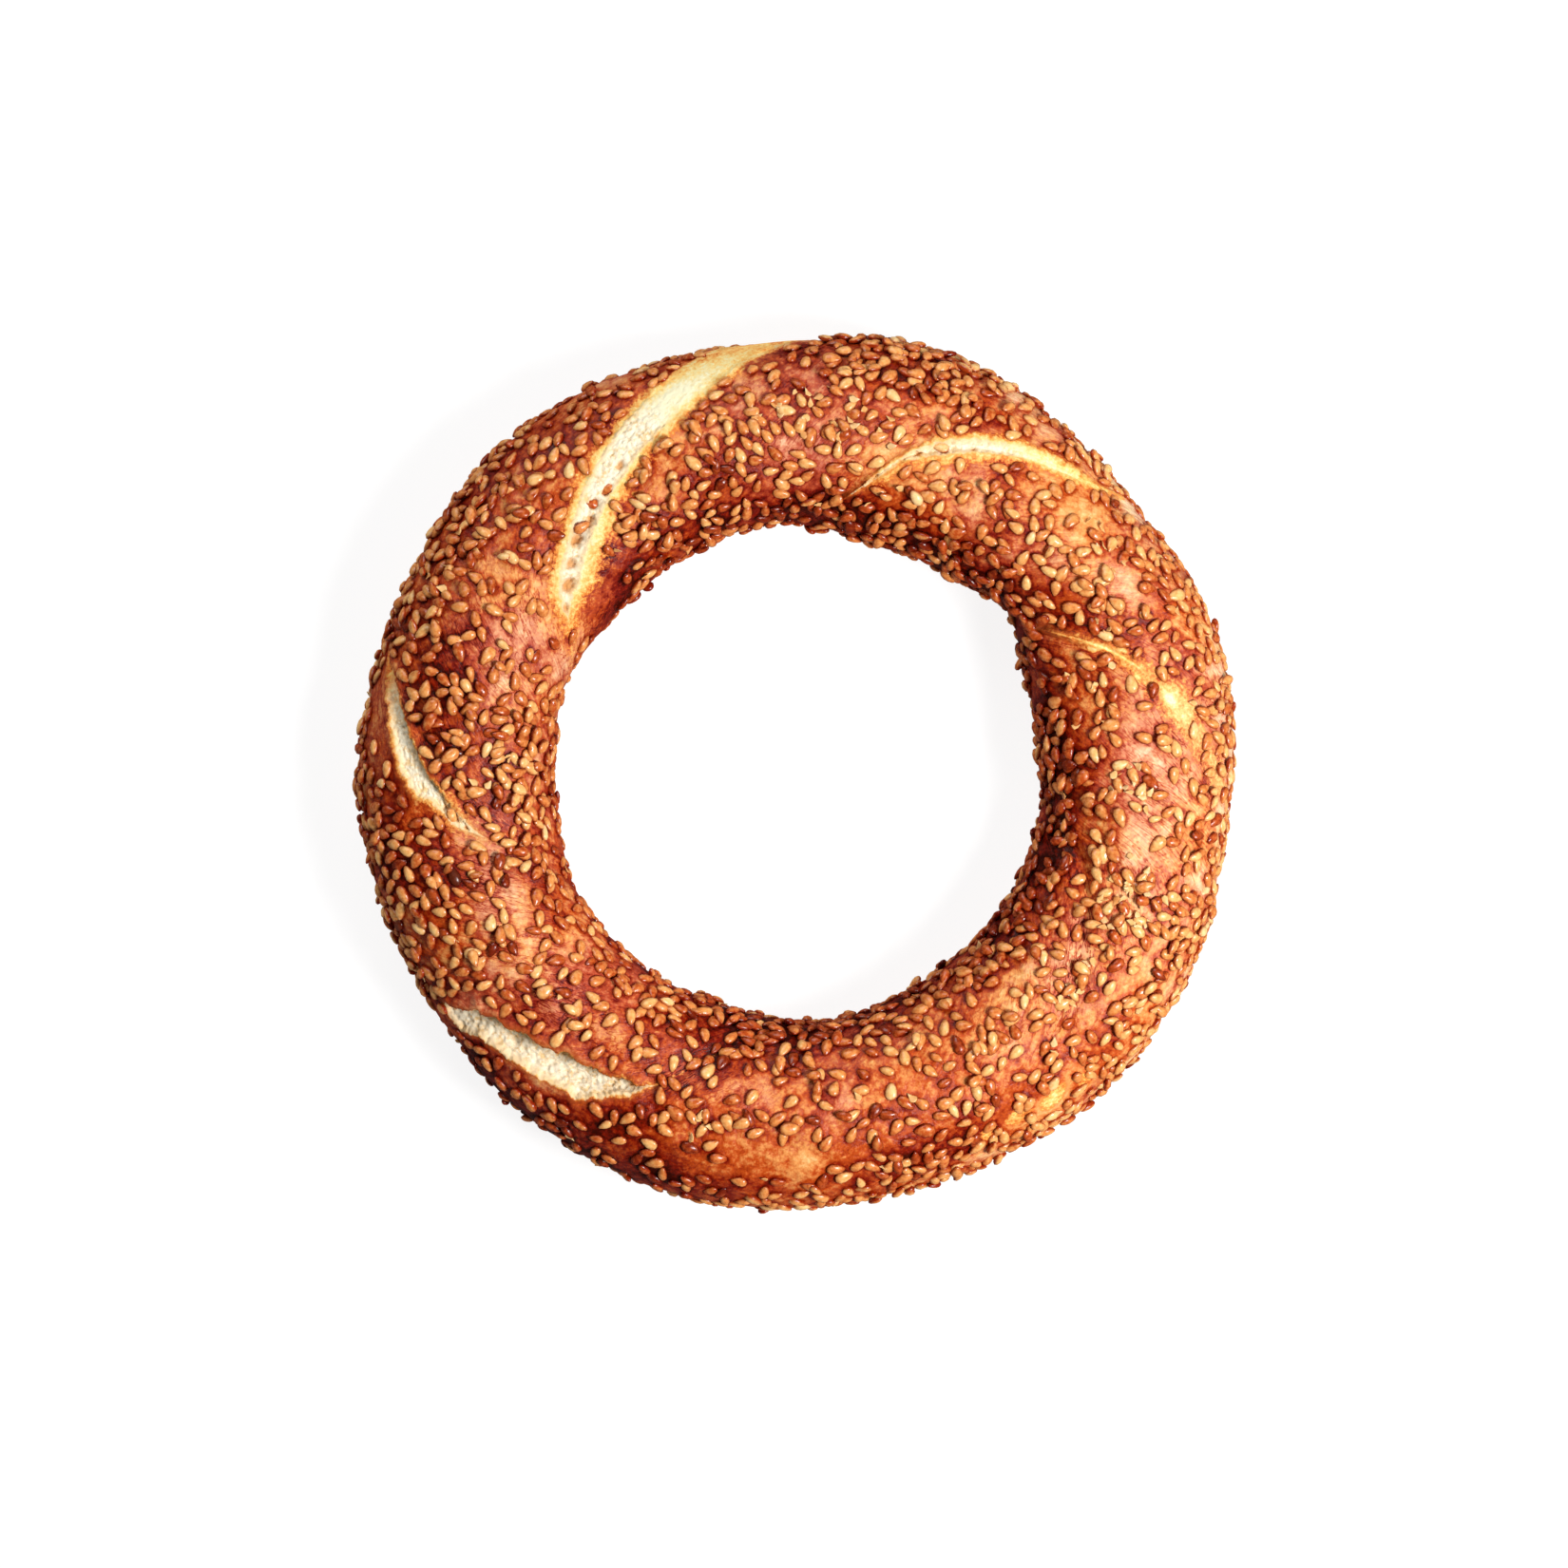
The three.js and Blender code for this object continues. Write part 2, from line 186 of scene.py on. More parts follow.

# Patches of crust: place, reach in degrees, how much darker, how much redder and more wrinkled. The
# darker patches at 15, 66, 105, 265 and 338 degrees on the side of the hole are painted shade, the
# lighter one there at 205 degrees is painted light, and the lighter, redder patches on the crown at 90,
# 153, 208, 322 and 352 degrees are painted sheen of the glaze.
crustPatches = [
    (5, 20, 14, 24, -0.2, 0.3), (8, 60, 14, 40, -0.1, 0.55), (45, 62, 12, 20, -0.1, -0.5),
    (40, 90, 22, 24, -0.12, 0.4), (68, 104, 11, 16, -0.2, -0.8), (32, 112, 10, 14, 0.16, -0.2),
    (75, 25, 13, 30, 0.24, -0.2), (88, 20, 6, 24, 0.2, 0.8), (90, 92, 13, 24, -0.1, 0.6),
    (110, 15, 10, 18, 0.26, 0), (142, 30, 24, 34, 0.2, -0.1), (153, 108, 14, 22, -0.18, 0.9),
    (140, 130, 16, 18, 0.1, -0.4), (172, 92, 12, 22, 0.08, 0.1), (170, 40, 5, 16, 0.1, 0.6),
    (192, 42, 12, 30, 0.24, -0.1), (208, 98, 14, 28, -0.16, 0.5), (228, 100, 12, 22, -0.02, 1),
    (226, 10, 18, 24, 0.45, 0.3), (250, 30, 12, 34, 0.32, -0.2), (268, 50, 11, 26, 0.04, -1),
    (253, 104, 12, 18, 0.12, 1), (268, 96, 10, 20, -0.12, 0.2), (290, 44, 11, 22, 0.3, -0.2),
    (305, 38, 8, 12, -0.24, -1), (322, 88, 24, 28, -0.12, 0.8), (345, 30, 20, 30, -0.22, 0.5),
    (352, 84, 12, 26, -0.2, 0.6), (325, 5, 40, 18, -0.26, 0.4), (42, 12, 28, 28, -0.26, 0.4),
    (104, 12, 16, 20, -0.16, 0), (205, 152, 44, 18, -0.26, 0), (15, 142, 28, 20, 0.3, 0),
    (66, 146, 24, 20, 0.33, 0), (105, 142, 18, 20, 0.26, 0), (338, 146, 22, 20, 0.25, 0),
    (265, 148, 20, 24, 0.34, 0.3), (206, 136, 14, 14, 0.1, 0.3), (240, 42, 14, 26, 0.16, 0),
    (195, 66, 12, 22, 0.08, 0), (196, 100, 8, 20, 0, 0.8), (312, 60, 24, 36, 0, -0.8),
    (260, 60, 30, 60, 0.06, -0.7), (166, 74, 14, 20, 0.16, 0.6), (184, 110, 16, 20, 0, 0.5),
    (128, 130, 12, 18, 0.12, 0.4), (222, 10, 14, 24, 0.08, 0), (153, 166, 12, 22, -0.3, 0.9),
    (315, 112, 16, 16, -0.14, 0.2), (358, 118, 12, 16, 0.12, 0), (140, 161, 9, 22, 0.36, 0.3),
]

# Relief finer than the strands: texture, mm across, mm deep, where it lies, and settings.
crustRelief = [
    ("lumps", "CLOUDS", 9.0, 1.0, "baked", {"noise_depth": 1}),
    ("dimples", "CLOUDS", 2.6, 0.45, "baked", {"noise_depth": 2}),
    ("crumbWalls", "CLOUDS", 1.1, -0.7, "torn", {"noise_depth": 2, "noise_type": "HARD_NOISE"}),
    ("crumbPores", "VORONOI", 0.8, 0.25, "torn", {}),
]


def turned(angle):
    # the same angle, from -180 to 180
    return (angle + 180) % 360 - 180


def fromPatch(around, across, at, aside, length, width):
    # 0 in a patch's middle, 1 where its reach ends
    return (turned(around - at) / length) ** 2 + (turned(across - aside) / width) ** 2


def seamKnots():
    around, across = [], []
    for lap in (-1, 0, 1):
        for index, places in enumerate(seams):
            for place, side in zip(places, (shoulderOut, crown, shoulderIn)):
                around.append(place + 360 * lap)
                across.append(side + halfTurn * index + wholeTwist * lap)
    return np.array(around, float), np.array(across, float)


knotAround, knotAcross = seamKnots()
knotRise = np.diff(knotAcross) / np.diff(knotAround)
knotMiddle = 2 * knotRise[1:] * knotRise[:-1] / (knotRise[1:] + knotRise[:-1])
knotSlope = np.concatenate([knotRise[:1], knotMiddle, knotRise[-1:]])


def seamAcross(around):
    # where the first seam lies across the rope, on a smooth curve through the places of all
    index = np.clip(np.searchsorted(knotAround, around, side="right") - 1, 0, len(knotRise) - 1)
    span = knotAround[index + 1] - knotAround[index]
    t = (around - knotAround[index]) / span
    rise = knotAcross[index + 1] - knotAcross[index]
    ease = t * t * (3 - 2 * t)
    return (knotAcross[index] + rise * ease + knotSlope[index] * span * t * (1 - t) ** 2
            - knotSlope[index + 1] * span * t * t * (1 - t))


def seamLean(around, across):
    # the seams' angle to the rope, and the distance from the ring's middle
    slope = seamAcross(around + 0.5) - seamAcross(around - 0.5)
    radius = ropeShape["ringRadius"] + ropeShape["halfWidth"] * np.cos(np.radians(across))
    return np.arctan2(slope * ropeShape["halfWidth"], radius), radius


def fromSeam(seam, around, across):
    # the nearest place along one seam, and the distance from it, positive towards the hole
    lean, radius = seamLean(around, across)
    gap = np.radians(turned(across - seamAcross(around) + halfTurn * seam)) * ropeShape["halfWidth"]
    foot = around + np.degrees(gap * np.sin(lean) * np.cos(lean) / radius)
    return foot, gap * np.cos(lean)


def wave(values, seed):
    # smooth noise along a line, from about -1 to 1
    grid = np.arange(math.floor(values.min()) - 1, math.ceil(values.max()) + 3)
    heights = np.random.default_rng(seed).uniform(-1, 1, len(grid))
    index = np.floor(values).astype(int) - int(grid[0])
    t = values - np.floor(values)
    t = t * t * (3 - 2 * t)
    return heights[index] * (1 - t) + heights[index + 1] * t


def traced(rows, column, around):
    # a value along a split, smooth between its rows
    rows = np.array(rows, float)
    index = np.clip(np.searchsorted(rows[:, 0], around) - 1, 0, len(rows) - 2)
    t = np.clip((around - rows[index, 0]) / (rows[index + 1, 0] - rows[index, 0]), 0, 1)
    t = 0.5 * t + 0.5 * t * t * (3 - 2 * t)
    return rows[index, column] * (1 - t) + rows[index + 1, column] * t


def inSplit(name, around, across):
    # mm outside the split's edge, mm from the seam, half width on that side, place along the seam
    split = splits[name]
    edges = split["edges"]
    first, last = edges[0][0], edges[-1][0]
    foot, offset = fromSeam(split["seam"], around, across)
    foot = (first + last) / 2 + turned(foot - (first + last) / 2)
    seed = split["seam"] * 7
    towardsHole = offset > 0
    ragged = wave(foot * 1.3, seed + 1) * 0.6 + wave(foot * 3.1, seed + 2) * 0.5
    raggedOther = wave(foot * 1.2, seed + 3) * 0.6 + wave(foot * 3.3, seed + 4) * 0.5
    half = np.where(towardsHole, traced(edges, 2, foot), traced(edges, 1, foot))
    half = half + np.where(towardsHole, ragged, raggedOther) * split["ragged"] * np.minimum(half, 1)
    beyond = np.maximum(np.maximum(first - foot, foot - last), 0)
    beyond = beyond * math.radians(1) * ropeShape["ringRadius"] * 1.4
    outside = np.where(beyond > 0, np.hypot(offset, beyond), np.abs(offset) - half)
    return outside, offset, half, foot


def easeIn(values, low, high):
    # a smooth step, 0 at low and 1 at high
    t = np.clip((values - low) / (high - low), 0, 1)
    return t * t * (3 - 2 * t)


def wobble(waves, around):
    return sum(size * np.cos(np.radians(count * around - turn)) for count, size, turn in waves)


def tearMaps(around, across, lean):
    # what the tears do to the crust: the maps that the material follows, and how far each place
    # sinks, slides over a tear, and has the seam's groove pulled flat
    t = tearShape
    edge = np.full(around.shape, farAway)
    crumb, skin, pale, shadedPocket = (np.zeros(around.shape) for _ in range(4))
    sink, slide, filled = (np.zeros(around.shape) for _ in range(3))
    perDegree = math.radians(1) * ropeShape["ringRadius"] / np.cos(lean)
    for name, split in splits.items():
        outside, offset, half, foot = inSplit(name, around, across)
        towardsHole = offset > 0
        there = easeIn(half, 0.1, 1.2)
        side = np.clip(offset / np.maximum(half, 0.1), -1, 1)

        wall = np.where(towardsHole, split["walls"][1], split["walls"][0])
        inside = easeIn(-outside / wall, 0.0, 1.0)
        sink += inside * traced(split["edges"], 3, foot) * (1 + split["tilt"] * side)
        lip = np.where(towardsHole, split["lips"][1], split["lips"][0])
        raised = np.exp(-((outside - t["lipAt"]) / t["lipWidth"]) ** 2)
        sink -= lip * raised * (outside > 0) * there
        curl = np.exp(-(np.maximum(outside, 0) / t["curlReach"]) ** 2) * easeIn(-outside, 0.35, 0.0)
        slide += split["overhang"] * curl * towardsHole * there

        rows = split["halo"]
        reach = np.where(towardsHole, traced(rows, 2, foot), traced(rows, 1, foot))
        ends = np.maximum(np.maximum(rows[0][0] - foot, foot - rows[-1][0]), 0)
        fading = np.exp(-(np.maximum(np.abs(offset) - half, 0) / reach) ** t["haloFall"]
                        - (ends / t["haloEnds"]) ** 2)
        filled = np.maximum(filled, split["filled"] * fading)
        upwards = t["outerPale"] + (1 - t["outerPale"]) * easeIn(turned(across), 15, 60)
        stretched = split["skinPale"] * (1 - 0.25 * side ** 2) * upwards
        within = easeIn(-outside, -0.1, 0.6)
        beside = traced(rows, 3, foot) * fading
        pale = np.maximum(pale, beside * (1 - within) + stretched * within)

        for at, aside, length, width, depth, paleness in split["spots"]:
            far = ((foot - at) * perDegree / length) ** 2 + ((offset - aside) / width) ** 2
            spot = np.exp(-far ** 2)
            sink += depth * spot
            pale = np.maximum(pale, paleness * spot)
            shadedPocket = np.maximum(shadedPocket, spot * (depth > 0))
        if split["skinUntil"]:
            edge = np.minimum(edge, outside)
            crumb = np.maximum(crumb, easeIn(-outside, -0.15, 0.25))
            skinHere = easeIn(split["skinUntil"] + t["skinFade"] - foot, 0, 2 * t["skinFade"])
            skin = np.where(outside < 0.5, np.maximum(skin, skinHere), skin)
    maps = {"edge": edge, "crumb": crumb, "skin": skin, "pale": pale, "shadedPocket": shadedPocket}
    return maps, sink, slide, filled


def crustPlace(around, across):
    # the crust's surface: points in mm, and the maps that the material and the seeds follow
    s = ropeShape
    theta, phi = np.radians(around), np.radians(across)
    lean, _ = seamLean(around, across)
    phase = (across - seamAcross(around) + 90) % 180 - 90
    offSeam = np.radians(phase) * s["halfWidth"] * np.cos(lean)
    share = s["sideRelief"] + (1 - s["sideRelief"]) * np.maximum(0, np.sin(phi))
    creased = (1 - s["creaseUneven"]) + s["creaseUneven"] * wave(around * 0.35, 3)
    relief = -np.cos(2 * np.radians(phase)) * s["strandBulge"] * share
    groove = s["creaseDepth"] * creased * np.exp(-(offSeam / s["creaseWidth"]) ** 2)
    groove += s["dipDepth"] * np.exp(-(offSeam / s["dipWidth"]) ** 2)
    groove *= share
    maps, sink, slide, filled = tearMaps(around, across, lean)

    fromWaist = turned(around - s["waistAt"]) / s["waistReach"]
    pinch = s["waistDepth"] * np.exp(-fromWaist ** 2) * np.maximum(0, -np.cos(phi)) ** 2
    half = np.where(np.cos(phi) > 0, s["halfWidth"] + wobble(s["outerWobble"], around),
                    s["halfWidth"] - wobble(s["innerWobble"], around))
    crownHeight = s["crownHeight"] + s["crownWander"] * wave(around * 0.05, 5)
    height = np.where(np.sin(phi) > 0, crownHeight, s["bellyDepth"])
    lift = relief - groove * (1 - filled) - sink
    out = (half + lift) * np.cos(phi) + pinch
    level = s["widestLevel"] + (height + lift) * np.sin(phi)
    out += slide * np.sin(phi)
    soft = s["baseSoftness"]
    level = s["trayLevel"] + soft * np.logaddexp(0, (level - s["trayLevel"]) / soft)
    radius = s["ringRadius"] + out
    points = np.stack([radius * np.cos(theta), radius * np.sin(theta), level], axis=-1)

    # darker towards the hole and underneath: baked colour with painted shade
    b = bakeAndShadeShape
    bakeShadeSheen = b["holeSide"] * easeIn(across, 130, 175) + b["underneath"] * easeIn(-np.sin(phi), 0.35, 0.9)
    bakeShadeSheen += b["outerSide"] * easeIn(np.cos(phi), 0.64, 0.97)
    rosyAndSheen = np.zeros(around.shape)
    # the patches add painted shade, painted light and painted sheen to the bake and the redness
    for *patch, darker, redder in crustPatches:
        inPatch = np.exp(-fromPatch(around, across, *patch))
        bakeShadeSheen = bakeShadeSheen + darker * inPatch
        rosyAndSheen = rosyAndSheen + redder * inPatch
    maps["bakeShadeSheen"] = bakeShadeSheen
    maps["rosyAndSheen"] = rosyAndSheen
    maps["nearSeam"] = np.exp(-(offSeam / s["foldReach"]) ** 2) * share
    return points, maps, phase


def activate(thing):
    bpy.ops.object.select_all(action="DESELECT")
    thing.select_set(True)
    bpy.context.view_layer.objects.active = thing


def readPoints(mesh, field="co"):
    values = np.empty(len(mesh.vertices) * 3)
    mesh.vertices.foreach_get(field, values)
    return values.reshape(-1, 3)


def writePoints(mesh, points):
    mesh.vertices.foreach_set("co", np.ascontiguousarray(points, dtype=np.float32).ravel())
    mesh.update()


def writeMap(mesh, name, values, kind="FLOAT"):
    layer = mesh.attributes.new(name, kind, "POINT")
    field = "value" if kind == "FLOAT" else "vector"
    layer.data.foreach_set(field, np.ascontiguousarray(values, dtype=np.float32).ravel())


def torusAngles(points):
    s = ropeShape
    around = np.degrees(np.arctan2(points[:, 1], points[:, 0])) % 360
    across = np.arctan2(points[:, 2], np.hypot(points[:, 0], points[:, 1]) - s["ringRadius"] * mm)
    across = across + s["crowdUpwards"] * np.cos(across)
    return around, np.degrees(across) % 360


def displace(thing, name, kind, size, depth, group, settings):
    texture = bpy.data.textures.new(name, kind)
    texture.noise_scale = size * mm
    for key, value in settings.items():
        setattr(texture, key, value)
    change = thing.modifiers.new(name, "DISPLACE")
    change.texture = texture
    change.texture_coords = "LOCAL"
    change.strength = depth * mm
    change.mid_level = 0.5
    change.vertex_group = group
    bpy.ops.object.modifier_apply(modifier=name)


def subdivideFaces(thing, pointPicked, cuts):
    # finer faces wherever a corner is picked
    mesh = thing.data
    corners = np.empty(len(mesh.loops), int)
    mesh.loops.foreach_get("vertex_index", corners)
    starts = np.empty(len(mesh.polygons), int)
    mesh.polygons.foreach_get("loop_start", starts)
    activate(thing)
    bpy.ops.object.mode_set(mode="EDIT")
    bpy.ops.mesh.select_mode(type="FACE")
    bpy.ops.mesh.select_all(action="DESELECT")
    bpy.ops.object.mode_set(mode="OBJECT")
    mesh.polygons.foreach_set("select", np.logical_or.reduceat(pointPicked[corners], starts))
    bpy.ops.object.mode_set(mode="EDIT")
    bpy.ops.mesh.subdivide(number_cuts=cuts)
    bpy.ops.object.mode_set(mode="OBJECT")


def makeRope():
    s = ropeShape
    bpy.ops.object.select_all(action="DESELECT")
    bpy.ops.mesh.primitive_torus_add(
        major_segments=s["stepsAround"], minor_segments=s["stepsAcross"],
        major_radius=s["ringRadius"] * mm, minor_radius=s["halfWidth"] * mm, generate_uvs=False)
    rope = bpy.context.active_object
    rope.name = "crust"
    mesh = rope.data
    subdivideFaces(rope, readPoints(mesh)[:, 2] / mm > -0.3 * s["halfWidth"], 1)
    around, across = torusAngles(readPoints(mesh))
    near = np.full(around.shape, farAway)
    for name in splits:
        near = np.minimum(near, inSplit(name, around, across)[0])
    subdivideFaces(rope, near < tearShape["fineReach"], 2)

    around, across = torusAngles(readPoints(mesh))
    points, maps, phase = crustPlace(around, across)
    writePoints(mesh, points * mm)
    for name, values in maps.items():
        writeMap(mesh, name, values)

    # where each place lies on a spool that turns with the strands, so that the streaks follow them
    turn, spin = np.radians(around), np.radians(phase * 2)
    reel, spool = 6, 15
    strand = np.stack([reel * np.cos(spin), reel * np.sin(spin), spool * np.cos(turn)], axis=-1)
    writeMap(mesh, "strand", strand, "FLOAT_VECTOR")
    writeMap(mesh, "strandTurn", spool * np.sin(turn))

    steps = 10
    weights = {"baked": (1 - maps["crumb"]) * easeIn(points[:, 2], 1.0, 4.0),
               "torn": maps["crumb"] * (1 - maps["skin"])}
    for name, values in weights.items():
        group = rope.vertex_groups.new(name=name)
        for level in range(1, steps + 1):
            picked = np.nonzero(np.round(values * steps) == level)[0]
            group.add(picked.tolist(), level / steps, "REPLACE")
    activate(rope)
    for relief in crustRelief:
        displace(rope, *relief)
    bpy.ops.object.shade_smooth()
    print("crust:", len(mesh.vertices), "points,", len(mesh.polygons), "faces")
    return rope


def tint(red, green, blue):
    # a colour from 0 to 255 as it looks, for a shader
    def straight(value):
        value = value / 255
        return value / 12.92 if value <= 0.04045 else ((value + 0.055) / 1.055) ** 2.4
    return (straight(red), straight(green), straight(blue), 1)


def tints(*colours):
    return [tint(*colour) for colour in colours]


def startMaterial(name):
    material = bpy.data.materials.new(name)
    material.use_nodes = True
    return material, material.node_tree, material.node_tree.nodes["Principled BSDF"]


def setInputs(tree, node, inputs):
    for key, value in inputs.items():
        if isinstance(value, bpy.types.NodeSocket):
            tree.links.new(value, node.inputs[key])
        else:
            node.inputs[key].default_value = value


def addNode(tree, kind, inputs=None, **settings):
    made = tree.nodes.new("ShaderNode" + kind)
    for key, value in settings.items():
        setattr(made, key, value)
    setInputs(tree, made, inputs or {})
    return made


def readMap(tree, name):
    return addNode(tree, "Attribute", attribute_name=name).outputs["Fac"]


def maths(tree, operation, first, second=0.0, third=0.0, clamp=False):
    made = addNode(tree, "Math", {0: first, 1: second, 2: third}, operation=operation, use_clamp=clamp)
    return made.outputs[0]


def ramp(tree, value, stops):
    made = addNode(tree, "ValToRGB", {"Fac": value})
    band = made.color_ramp
    while len(band.elements) < len(stops):
        band.elements.new(0.5)
    for element, (place, colour) in zip(band.elements, stops):
        element.position = place
        element.color = colour if isinstance(colour, tuple) else (colour, colour, colour, 1)
    return made.outputs["Color"]


def blend(tree, factor, first, second, mode="MIX"):
    made = addNode(tree, "Mix", {0: factor, 6: first, 7: second}, data_type="RGBA", blend_type=mode)
    return made.outputs[2]


def grain(tree, place, scale, detail=2.0, rough=0.5):
    made = addNode(
        tree, "TexNoise", {"Vector": place, "Scale": scale, "Detail": detail, "Roughness": rough})
    return made.outputs["Fac"]


def vary(tree, value, maps, shares):
    # adds a share of how far each map is above its middle
    for name, (share, middle) in shares.items():
        if isinstance(value, float):
            value -= share * middle
        elif middle:
            value = maths(tree, "ADD", value, -share * middle)
        value = maths(tree, "MULTIPLY_ADD", maps[name], share, value)
    return value


# The first four go from the darkest colour to the palest.
crustLook = {
    "orange": tints((60, 8, 0), (136, 23, 0), (198, 79, 22), (239, 158, 86), (252, 210, 142)),
    "rosyAndSheen": tints((54, 4, 2), (127, 20, 9), (190, 78, 48), (230, 152, 110), (250, 208, 168)),
    "gold": tints((200, 80, 24), (238, 142, 58), (255, 202, 110), (255, 230, 158), (255, 247, 208)),
    "peach": tints((200, 98, 54), (232, 156, 92), (246, 196, 128), (253, 220, 156), (255, 246, 208)),
    # the pore and pocket colours are painted shade in the crumb's small holes and sunk pockets
    "crumb": tint(254, 242, 214), "shadedPore": tint(240, 204, 148), "shadedPocket": tint(216, 152, 84),
    # cutEdgeWarmShade: the crumb's own golden rim along the cut, with painted warm shade on the walls
    "cutEdgeWarmShade": tint(242, 204, 148), "tornEdge": tint(176, 84, 28),
    "gloss": 0.22, "crumbRoughness": 0.85, "toneMiddle": 0.67,
    "bumpDepth": 0.9, "granuleShift": 0.9,  # mm
}

# Noise over the crust: scale, detail, roughness.
crustGrains = {
    "patches": (95, 3.0, 0.55), "blotches": (420, 4.0, 0.65), "fine": (1500, 4.0, 0.7),
    "redPatches": (55, 2.0, 0.5),
}

# What the maps add to each part of the look: the share of a map, and the map's own middle.
crustShares = {
    "tone": {"patches": (-0.9, 0.5), "blotches": (0.4, 0.5), "streaks": (0.3, 0.5),
             "fine": (0.65, 0.5), "granules": (-0.2, 0.45), "bakeShadeSheen": (-1, 0),
             # the map of seeds round each point darkens the crust: painted shade of the seeds, with
             # pooled glaze
             "creases": (-0.45, 0), "seedShadeGlaze": (-0.4, 0.1)},
    "redness": {"rosyAndSheen": (0.15, 0), "fine": (-0.7, 0.5), "blotches": (-0.5, 0.5)},
    "uneven": {"blotches": (0.9, 0.5), "streaks": (0.5, 0.5), "fine": (1.5, 0.5)},
    "frayed": {"fine": (1.2, 0.5)},
    "sponge": {"fine": (0.6, 0), "blotches": (0.6, 0)},
    "glaze": {"pale": (0.3, 0), "bakeShadeSheen": (-0.1, 0)},
    "height": {"creases": (-0.12, 0), "granules": (-0.3, 0), "fine": (0.36, 0)},
}


def crustMaps(tree):
    # all that the crust's look follows: what makeRope wrote, and noise
    place = addNode(tree, "TexCoord").outputs["Object"]
    names = ("edge", "crumb", "skin", "pale", "shadedPocket", "bakeShadeSheen", "rosyAndSheen", "nearSeam", "seedShadeGlaze")
    maps = {name: readMap(tree, name) for name in names}
    for name, settings in crustGrains.items():
        maps[name] = grain(tree, place, *settings)
    strand = addNode(tree, "Attribute", attribute_name="strand").outputs["Vector"]
    maps["streaks"] = addNode(tree, "TexNoise", {
        "Vector": strand, "W": readMap(tree, "strandTurn"), "Scale": 1.0, "Detail": 2.0,
        "Roughness": 0.6, "Distortion": 0.9}, noise_dimensions="4D").outputs["Fac"]
    shift = addNode(tree, "TexNoise", {"Vector": place, "Scale": 900.0, "Detail": 2.0})
    shifted = addNode(tree, "VectorMath", {
        0: shift.outputs["Color"], 1: (crustLook["granuleShift"] * mm,) * 3, 2: place},
        operation="MULTIPLY_ADD").outputs["Vector"]
    granules = addNode(tree, "TexVoronoi", {"Vector": shifted, "Scale": 820.0})
    maps["granules"] = granules.outputs["Distance"]

    # wrinkles that follow the strand, fewer where the crust is smooth
    folded = maths(tree, "MULTIPLY_ADD", maps["nearSeam"], 0.5, 0.15)
    maps["folded"] = maths(tree, "MULTIPLY_ADD", maps["rosyAndSheen"], 0.7, folded, clamp=True)
    creases = maths(tree, "ABSOLUTE", maths(tree, "SUBTRACT", maps["streaks"], 0.5))
    creases = ramp(tree, creases, [(0.0, 1.0), (0.035, 0.0)])
    maps["creases"] = maths(tree, "MULTIPLY", creases, maps["folded"])
    return maps


